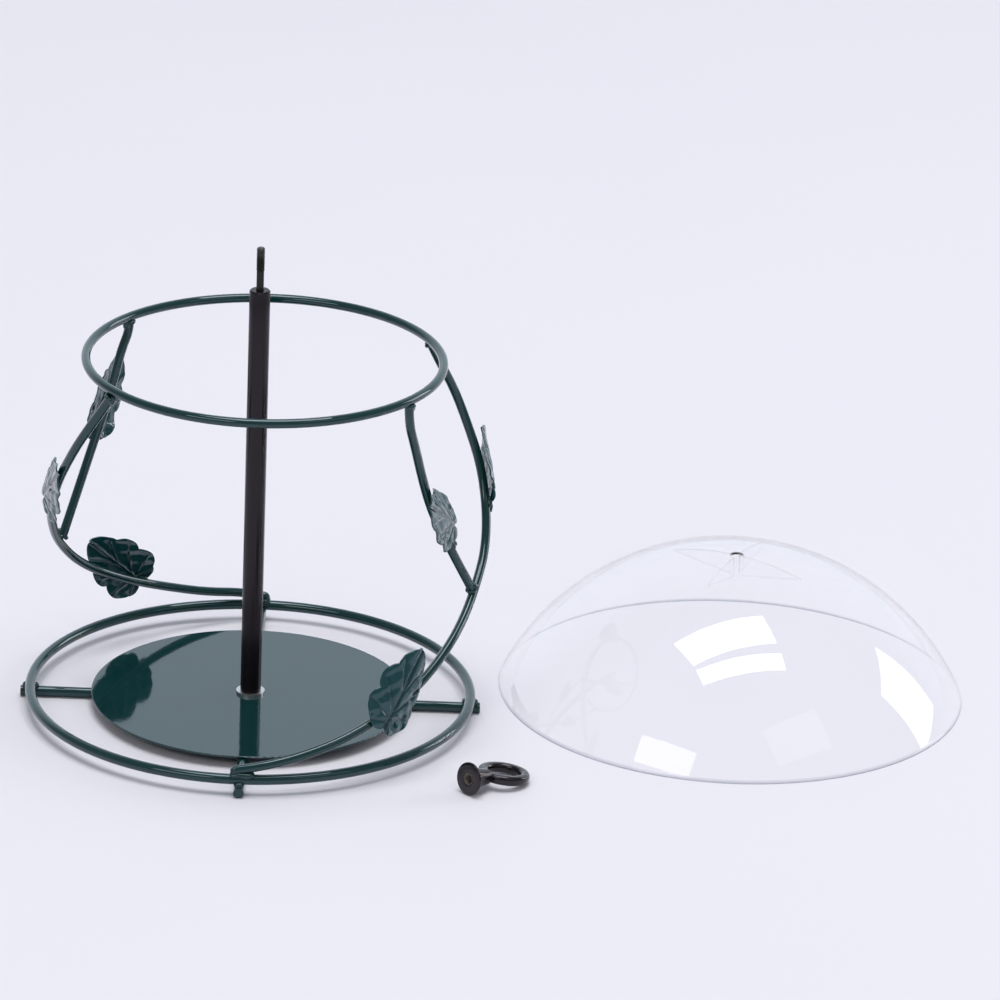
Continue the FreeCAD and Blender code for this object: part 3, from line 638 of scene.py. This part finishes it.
def tacks(leaf_label, wire_label, phase):
    """Two drops of weld beside a wire where its leaf lies nearest, along the wire's spread there."""
    blade_points, wire_points = node_faces(leaf_label)[0], node_faces(wire_label)[0]
    low, high = blade_points.min(axis=0) - TACK_MARGIN, blade_points.max(axis=0) + TACK_MARGIN
    wire_points = wire_points[((wire_points > low) & (wire_points < high)).all(axis=1)]
    squares = (blade_points ** 2).sum(1)[:, None] + (wire_points ** 2).sum(1)[None]
    gaps = squares - 2 * blade_points @ wire_points.T
    near_blade, near_wire = np.unravel_index(np.argmin(gaps), gaps.shape)
    touch, seat = blade_points[near_blade], wire_points[near_wire]
    around = wire_points[np.linalg.norm(wire_points - seat, axis=1) < TACK_REACH]
    off = around - around.mean(axis=0)
    along = np.linalg.eigh(off.T @ off)[1][:, 2]
    outwards = unit(touch - around.mean(axis=0))
    across = np.cross(outwards, along)
    return [drop(seat + across * side * TACK_OFF + along * side * TACK_SHIFT, along, outwards,
                 TACK_BEAD, phase + side) for side in (-1, 1)]


for number, (leaf_label, wire_label) in enumerate((
    ("leaf_low_right", "vine_right"), ("leaf_high_right", "vine_right"),
    ("leaf_branch_right", "branch_right"), ("leaf_low_left", "vine_left"),
    ("leaf_high_left", "vine_left"), ("leaf_branch_left", "branch_left"),
)):
    welds += tacks(leaf_label, wire_label, 1.3 * number)
piece("weld_beads", welds, wire_coat, "cage")


# Threaded stud and insert

def thread_depth(turn, height, pitch):
    """A rounded ridge from 0 to 1 that climbs one pitch for each turn round the axis."""
    wave = 0.5 + 0.5 * np.cos(2 * math.pi * height / pitch - turn)
    return wave ** 0.8


def stud():
    """Stud as radius over turn and height: smooth neck, then a thread that fades in, then a bevel."""
    foot, top = STUD_FOOT + STUD_CLEAR, STUD_TIP
    heights = np.concatenate([[foot, foot], np.linspace(foot, STUD_THREAD - 0.0004, 14)[1:],
                              np.arange(STUD_THREAD, top - 0.0001, THREAD_PITCH / THREAD_ROWS),
                              [top, top]])
    turn, height = np.meshgrid(np.linspace(0, 2 * math.pi, THREAD_COLUMNS, endpoint=False), heights)
    ridge = thread_depth(turn, height, THREAD_PITCH)
    share = np.clip((height - STUD_THREAD) / THREAD_FADE, 0, 1)
    thread = STUD_ROOT + (STUD_CREST - STUD_ROOT) * ridge
    radius = STUD_NECK + (thread - STUD_NECK) * share
    radius = np.minimum(radius, STUD_CREST - np.clip(height - top + STUD_BEVEL, 0, 1))
    radius[[0, -1]] = 0
    points = np.stack([radius * np.cos(turn), radius * np.sin(turn), height], -1)
    return {"points": points, "columns_close": True}


piece("stud_threaded", [stud()], stud_finish, "cage", ["hanger_stud"], 50)


def hanger_frame():
    """Place and ways of the hanger: it lies on the flange's rim and on the far side of the eye."""
    eye_end = COLLAR_LENGTH + 2 * EYE_RADIUS - FLANGE_EDGE
    lever = math.hypot(FLANGE_RADIUS, eye_end)
    tilt = math.acos(EYE_SECTION / 2 / lever) - math.atan2(eye_end, FLANGE_RADIUS)
    height = FLANGE_RADIUS * math.cos(tilt) + FLANGE_EDGE * math.sin(tilt)
    level = np.array([math.cos(HANGER_TURN), math.sin(HANGER_TURN), 0])
    axis = level * math.cos(tilt) - UP * math.sin(tilt)
    side = unit(np.cross(UP, axis))
    return HANGER_PLACE + UP * height, np.stack([side, np.cross(axis, side), axis])


hanger_place, hanger_ways = hanger_frame()


def insert():
    """Threaded insert: a tube whose inner wall is a helical thread, with bevelled mouths."""
    rows = np.arange(0, INSERT_LENGTH, THREAD_PITCH / THREAD_ROWS)
    turn, height = np.meshgrid(np.linspace(0, 2 * math.pi, THREAD_COLUMNS, endpoint=False), rows)
    ends = np.minimum(height, INSERT_LENGTH - height)
    mouth = np.clip(INSERT_BEVEL - ends, 0, 1) * INSERT_BEVEL_SLOPE
    ridge = thread_depth(turn, height, THREAD_PITCH)
    bore = INSERT_BORE + INSERT_SLACK - INSERT_RIDGE * ridge + mouth
    radius = np.concatenate([bore, np.full_like(turn[:2], INSERT_RADIUS)])
    turn = np.concatenate([turn, turn[:2]])
    height = np.concatenate([height, height[:2] * 0 + np.array([[rows[-1]], [0.0]])])
    points = np.stack([radius * np.cos(turn), radius * np.sin(turn), height], -1)
    return {"points": points @ hanger_ways + hanger_place, "rows_close": True, "columns_close": True}


piece("insert_threaded", [insert()], insert_steel, "hanger", ["thread_insert"], 50)


def fillet(centre, radius, first, last, steps):
    """Points of a small arc in the profile's plane, by its centre, radius and angles in degrees."""
    turn = np.radians(np.linspace(first, last, steps))
    return np.stack([centre[0] + radius * np.cos(turn), centre[1] + radius * np.sin(turn)], -1)


def collar_skin():
    """Collar as a profile from the axis and back to it, carried round the axis.

    Blind hole, rounded mouth, flat face, rounded flange rim, sloping back, hollow foot, slim neck.
    """
    mouth, rim, back, depth = 0.0003, 0.0005, 0.0004, INSERT_LENGTH + 0.0001
    foot, end = FLANGE_THICK + COLLAR_FOOT, COLLAR_LENGTH - EYE_SECTION / 4
    profile = np.concatenate([
        [[0, depth], [INSERT_HOLE, depth]],
        fillet((INSERT_HOLE + mouth, mouth), mouth, 180, 270, 5),
        fillet((FLANGE_RADIUS - rim, rim), rim, 270, 360, 7),
        fillet((FLANGE_RADIUS - back, FLANGE_EDGE), back, 0, 65, 5),
        fillet((COLLAR_ROOT + COLLAR_FOOT, foot), COLLAR_FOOT, 270, 180, 8),
        np.linspace((COLLAR_ROOT, foot), (COLLAR_NECK, end), 12)[1:],
        [[0, end]],
    ])
    points = revolved(profile[:, 0], profile[:, 1], 72)
    return {"points": points @ hanger_ways + hanger_place, "columns_close": True}


def eye_skin():
    """Eye as a squarish rounded section carried round a circle in the plane of the collar's axis."""
    turn, spin = np.meshgrid(np.linspace(0, 2 * math.pi, 120, endpoint=False),
                             np.linspace(0, 2 * math.pi, 40, endpoint=False), indexing="ij")
    power, half = 2 / EYE_SQUARENESS, EYE_SECTION / 2
    out = half * np.sign(np.cos(spin)) * np.abs(np.cos(spin)) ** power
    up = half * np.sign(np.sin(spin)) * np.abs(np.sin(spin)) ** power
    points = np.stack([(EYE_RADIUS + out) * np.cos(turn), up,
                       COLLAR_LENGTH + EYE_RADIUS + (EYE_RADIUS + out) * np.sin(turn)], -1)
    return {"points": points @ hanger_ways + hanger_place, "rows_close": True, "columns_close": True}


piece("hanger_moulded", [collar_skin(), eye_skin()], hanger_plastic, "hanger",
      ["hanger_ring"], 40)


# Rain dome

def sphere_height(radius, sphere):
    """Height of a dome sphere at a distance from its axis."""
    return DOME_CENTRE + np.sqrt(sphere ** 2 - radius ** 2)


def dome_shell():
    """Dome as a closed profile carried round its axis: outer cap, bore mouth, inner cap, rounded rim."""
    inner, lip, out = DOME_SPHERE - DOME_WALL, 0.0004, DOME_RIM - DOME_RIM_INSET
    outer_r = np.linspace(math.asin(out / DOME_SPHERE), math.asin((BOSS_BORE + lip) / DOME_SPHERE), 76)
    outer = np.stack([DOME_SPHERE * np.sin(outer_r), DOME_CENTRE + DOME_SPHERE * np.cos(outer_r)], -1)
    mouth = fillet((BOSS_BORE + lip, outer[-1, 1] - lip), lip, 90, 180, 6)[1:]
    rim_in = math.sqrt(inner ** 2 - (DOME_CENTRE - DOME_RIM_INSET) ** 2)
    inner_r = np.linspace(math.asin(BOSS_BORE / inner), math.asin(rim_in / inner), 76)
    ceiling = np.stack([inner * np.sin(inner_r), DOME_CENTRE + inner * np.cos(inner_r)], -1)
    middle = (outer[0] + ceiling[-1]) / 2
    reach = np.hypot(*(outer[0] - middle))
    lean = math.degrees(math.atan2(*(ceiling[-1] - middle)[::-1]))
    rim = fillet(middle, reach, lean, lean + 180, 10)[1:-1]
    rim[:, 1] = np.maximum(rim[:, 1], 0)
    profile = np.concatenate([outer, mouth, ceiling, rim])
    marks = np.zeros(len(profile))
    # marks of 1 on the rim and 0.8 on the outer edge pick the painted grey rim shade; -1 opens the bore
    # mouth
    marks[len(profile) - len(rim):] = 1
    marks[0] = 0.8
    marks[len(outer) - 1:len(outer) + len(mouth) + 1] = -1
    points = revolved(profile[:, 0], profile[:, 1], 288) + DOME_PLACE
    return {"points": points, "rows_close": True, "columns_close": True, "marks": marks[:, None]}


def boss_skin():
    """Boss as a rounded tube section carried round the dome's axis, its top in the dome's wall."""
    foot, top = 0.0005, sphere_height(BOSS_RADIUS, DOME_SPHERE - DOME_WALL)
    profile = np.concatenate([
        [[BOSS_RADIUS, top], [BOSS_BORE, top]],
        fillet((BOSS_BORE + foot, BOSS_BOTTOM + foot), foot, 180, 270, 5),
        fillet((BOSS_RADIUS - foot, BOSS_BOTTOM + foot), foot, 270, 360, 5),
    ])
    points = revolved(profile[:, 0], profile[:, 1], 64) + DOME_PLACE
    return {"points": points, "rows_close": True, "columns_close": True}


def gusset(angle):
    """A thin web between boss and dome: a round-edged section, carried outwards, whose foot rises."""
    run = np.linspace(0, 1, 24)
    radius = BOSS_RADIUS - GUSSET_IN_BOSS + run * (GUSSET_REACH - BOSS_RADIUS + GUSSET_IN_BOSS)
    top = sphere_height(radius, DOME_SPHERE - DOME_WALL) + GUSSET_IN_DOME
    foot = np.minimum(GUSSET_FOOT + run * (top[-1] - 0.0008 - GUSSET_FOOT), top - 0.0006)
    edge = np.radians(np.linspace(180, 360, 9))
    side = np.concatenate([GUSSET_HALF * np.cos(edge), GUSSET_HALF * np.array([1, 1, 1, -1, -1, -1])])
    low, root = foot[:, None] + GUSSET_HALF * (1 + np.sin(edge))[None], top[:, None]
    above, under = foot[:, None] + GUSSET_HALF * 1.4, root - GUSSET_ROOT
    under = np.maximum(under, np.minimum(above, root))
    lines = (low, above, under, root, root, under, above)
    height = np.concatenate([np.minimum(line, root) for line in lines], 1)
    section = np.stack(np.broadcast_arrays(radius[:, None], side, height), -1)
    middle = section.mean(axis=1, keepdims=True)
    closed = np.concatenate([np.broadcast_to(middle[:1], section[:1].shape), section,
                             np.broadcast_to(middle[-1:], section[-1:].shape)])
    cos, sin = math.cos(angle), math.sin(angle)
    turn = np.array([[cos, sin, 0], [-sin, cos, 0], [0, 0, 1]])
    # marks for the painted grey shade lines: 0.35 on the rounded edge, 1 where the web meets the dome
    marks = np.concatenate([0 * edge + 0.35, [0, 0, 1, 1, 0, 0]])
    return {"points": closed @ turn + DOME_PLACE, "columns_close": True, "marks": marks}


piece("dome_clear", [dome_shell()], dome_plastic, "dome", ["rain_dome"], 60)
piece("dome_webs", [boss_skin()] + [gusset(GUSSET_TURN + k * math.pi / 2) for k in range(4)],
      boss_plastic, "dome", ["rain_dome"], 60)


# Floor, light and camera

FLOOR_REACH, FLOOR_DROP = 8.0, 0.0002


def floor():
    """Level square sheet under the object."""
    line = np.linspace(-FLOOR_REACH, FLOOR_REACH, 9)
    x, y = np.meshgrid(line, line)
    points, faces, _ = joined([{"points": np.stack([x, y, 0 * x - FLOOR_DROP], -1)}])
    mesh = bpy.data.meshes.new("floor")
    mesh.from_pydata(points.tolist(), [], faces.tolist())
    mesh.materials.append(studio_floor("studio_floor"))
    made = bpy.data.objects.new("floor", mesh)
    bpy.context.scene.collection.objects.link(made)


def softbox(name, way, width, height, roll, power, tint=(1, 1, 1)):
    """A rectangular lamp in a direction from the object, facing it, turned about that direction."""
    way, width, height = unit(way), width * LAMP_REACH, height * LAMP_REACH
    lamp = bpy.data.lights.new(name, "AREA")
    lamp.shape, lamp.size, lamp.size_y = "RECTANGLE", width, height
    lamp.energy, lamp.color = power * width * height, tint
    made = bpy.data.objects.new(name, lamp)
    bpy.context.scene.collection.objects.link(made)
    side = unit(np.cross(UP, way) if abs(way[2]) < 0.9 else np.cross((0, 1, 0), way))
    over = np.cross(way, side)
    turn = math.radians(roll)
    first = side * math.cos(turn) + over * math.sin(turn)
    columns = np.stack([first, np.cross(way, first), way], -1)
    place = LIGHT_AIM + way * LAMP_REACH
    made.matrix_world = Matrix([[*columns[i], place[i]] for i in range(3)] + [[0, 0, 0, 1]])


LIGHT_AIM, LAMP_REACH = np.array([0.15, 0.0, 0.08]), 6.0
softbox("overhead_back", (-0.02, 0.12, 0.936), 0.62, 0.275, 24, 22.5)
softbox("overhead_front", (0.08, -0.13, 0.935), 0.625, 0.15, 20, 22.5)
softbox("right_back", (0.82, 0.38, 0.30), 0.375, 0.425, 0, 11)
softbox("front_left", (-0.45, -0.66, 0.54), 0.475, 0.21, 0, 11, (1, 0.97, 0.93))
softbox("front_right", (0.47, -0.50, 0.62), 0.475, 0.30, 0, 2)


def studio_world():
    """Pale for the camera; for light and reflections a bright back and dimmer front and sides."""
    world = bpy.data.worlds.new("studio")
    bpy.context.scene.world = world
    world.use_nodes = True
    world.node_tree.nodes.clear()
    start = Tone(world.node_tree)
    way = start.node("TexCoord", None, None, "Generated")
    depth = start.node("SeparateXYZ", None, {0: way}, "Y")
    back = between(depth, 0.35, 0.80)
    camera = start.node("LightPath", None, None, "Is Camera Ray")
    through = start.node("LightPath", None, None, "Is Transmission Ray")
    seen = camera.math("MAXIMUM", camera, through)
    around = blended(back, (0.27, 0.27, 0.29, 1), (0.80, 0.89, 1.0, 1))
    colour = blended(seen, around, (0.86, 0.86, 0.92, 1))
    light = start.node("Background", None, {"Color": colour, "Strength": 1.0})
    start.node("OutputWorld", None, {"Surface": light})


floor()
studio_world()

CAMERA_PLACE = np.array([0.1491, -3.6756, 1.6057])
CAMERA_FALL, CAMERA_ROLL, CAMERA_LENS = math.radians(21.72), math.radians(2.225), 234.0


def photo_camera():
    """Camera at the photographed angle: it looks along +Y and down, rolled a little."""
    lens = bpy.data.cameras.new("photo_camera")
    lens.lens, lens.sensor_width = CAMERA_LENS, 36.0
    made = bpy.data.objects.new("photo_camera", lens)
    bpy.context.scene.collection.objects.link(made)
    ahead = np.array([0, math.cos(CAMERA_FALL), -math.sin(CAMERA_FALL)])
    over = np.array([0, math.sin(CAMERA_FALL), math.cos(CAMERA_FALL)])
    level = np.array([1.0, 0, 0])
    right = math.cos(CAMERA_ROLL) * level + math.sin(CAMERA_ROLL) * over
    top = -math.sin(CAMERA_ROLL) * level + math.cos(CAMERA_ROLL) * over
    columns = np.stack([right, top, -ahead], -1)
    made.matrix_world = Matrix([[*columns[i], CAMERA_PLACE[i]] for i in range(3)] + [[0, 0, 0, 1]])
    bpy.context.scene.camera = made


photo_camera()
bpy.context.scene.view_settings.view_transform = "Standard"
